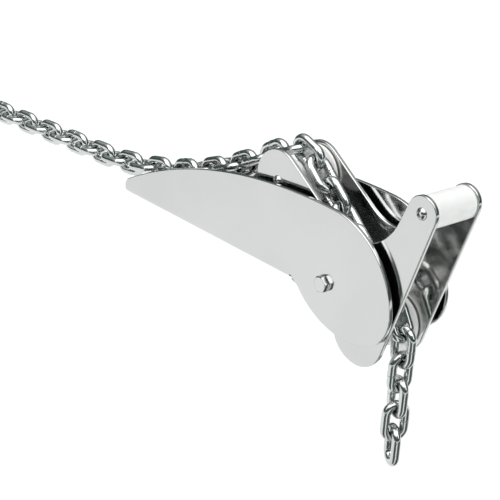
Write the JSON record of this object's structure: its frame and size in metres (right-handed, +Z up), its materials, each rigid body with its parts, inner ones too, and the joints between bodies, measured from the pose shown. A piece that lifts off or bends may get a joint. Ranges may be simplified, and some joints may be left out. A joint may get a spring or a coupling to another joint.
{
  "type": "hinged bow roller with anchor chain",
  "caption": "Polished steel channel with a tilting two-plate cradle, grooved white rollers, a plain keeper roller and an anchor chain laid over them, hinged on one cross bolt.",
  "frame": {"origin": "centre of the deck bolt pattern, on the underside of the channel floor", "axes": "+X towards the bow, +Y to port, +Z up from the deck; the assembly is symmetric about Y = 0 but for its bolt and its chain"},
  "size_m": [0.7883, 0.0934, 0.2621],
  "materials": {
    "polished_plate": "mirror-polished stainless sheet",
    "fastener_steel": "polished stainless",
    "chain_steel": "polished stainless wire",
    "nylon": "turned white nylon",
    "nylon_trim": "white nylon"
  },
  "bodies": {
    "frame": {"channel_frame": "polished_plate", "cradle_stop_bar": "polished_plate", "pivot_bolt": "fastener_steel", "pivot_washers": "fastener_steel", "pivot_lock_nut": "fastener_steel", "pivot_spacer_tube": "fastener_steel"},
    "cradle": {"cradle_plate_starboard": "polished_plate", "cradle_plate_port": "polished_plate", "cradle_hub_tube": "polished_plate", "pivot_bushes": "nylon_trim", "rear_axle": "fastener_steel", "front_axle": "fastener_steel", "top_axle": "fastener_steel", "rear_axle_screws": "fastener_steel", "front_axle_screws": "fastener_steel", "top_axle_screws": "fastener_steel", "rear_roller_washers": "nylon_trim", "front_roller_washers": "nylon_trim", "chain_cradle_links": "chain_steel"},
    "rear_roller": {"rear_roller": "nylon"},
    "front_roller": {"front_roller": "nylon"},
    "top_roller": {"top_roller": "nylon"},
    "chain_ramp": {"chain_ramp_links": "chain_steel"},
    "chain_deck": {"chain_deck_links": "chain_steel"},
    "chain_lead": {"chain_lead_link": "chain_steel"},
    "chain_guide": {"chain_guide_link": "chain_steel"},
    "chain_drop": {"chain_drop_links": "chain_steel"}
  },
  "joints": [
    {"name": "cradle_tilt", "type": "hinge", "parent": "frame", "child": "cradle", "pos_m": [0.17, 0, 0.012], "axis": [0, -1, 0], "range_deg": [0, 29]},
    {"name": "rear_roller_spin", "type": "hinge", "parent": "cradle", "child": "rear_roller", "pos_m": [0.095, 0, 0.078], "axis": [0, 1, 0], "continuous": true},
    {"name": "front_roller_spin", "type": "hinge", "parent": "cradle", "child": "front_roller", "pos_m": [0.2045, 0, -0.0225], "axis": [0, 1, 0], "continuous": true},
    {"name": "top_roller_spin", "type": "hinge", "parent": "cradle", "child": "top_roller", "pos_m": [0.2598, 0, 0.1018], "axis": [0, 1, 0], "continuous": true},
    {"name": "chain_ramp_bend", "type": "hinge", "parent": "cradle", "child": "chain_ramp", "pos_m": [0.09615, 0, 0.10397], "axis": [0, -1, 0], "range_deg": [-42, 0]},
    {"name": "chain_deck_bend", "type": "hinge", "parent": "chain_ramp", "child": "chain_deck", "pos_m": [-0.12451, -0.00043, 0.02037], "axis": [0, -1, 0], "range_deg": [0, 13]},
    {"name": "chain_lead_bend", "type": "hinge", "parent": "cradle", "child": "chain_lead", "pos_m": [0.2335, 0, -0.02289], "axis": [0, -1, 0], "range_deg": [-16, 0]},
    {"name": "chain_guide_bend", "type": "hinge", "parent": "chain_lead", "child": "chain_guide", "pos_m": [0.2335, 0, -0.0383], "axis": [0, -1, 0], "range_deg": [-14, 0]},
    {"name": "chain_swing", "type": "hinge", "parent": "chain_guide", "child": "chain_drop", "pos_m": [0.2335, 0, -0.07029], "axis": [-0.1219, -0.9925, 0], "range_deg": [-25, 25]}
  ],
  "couplings": [
    {"joint": "chain_ramp_bend", "follows": "cradle_tilt", "ratio": -1.4107},
    {"joint": "chain_deck_bend", "follows": "cradle_tilt", "ratio": 0.41068},
    {"joint": "chain_lead_bend", "follows": "cradle_tilt", "ratio": -0.53},
    {"joint": "chain_guide_bend", "follows": "cradle_tilt", "ratio": -0.47}
  ]
}
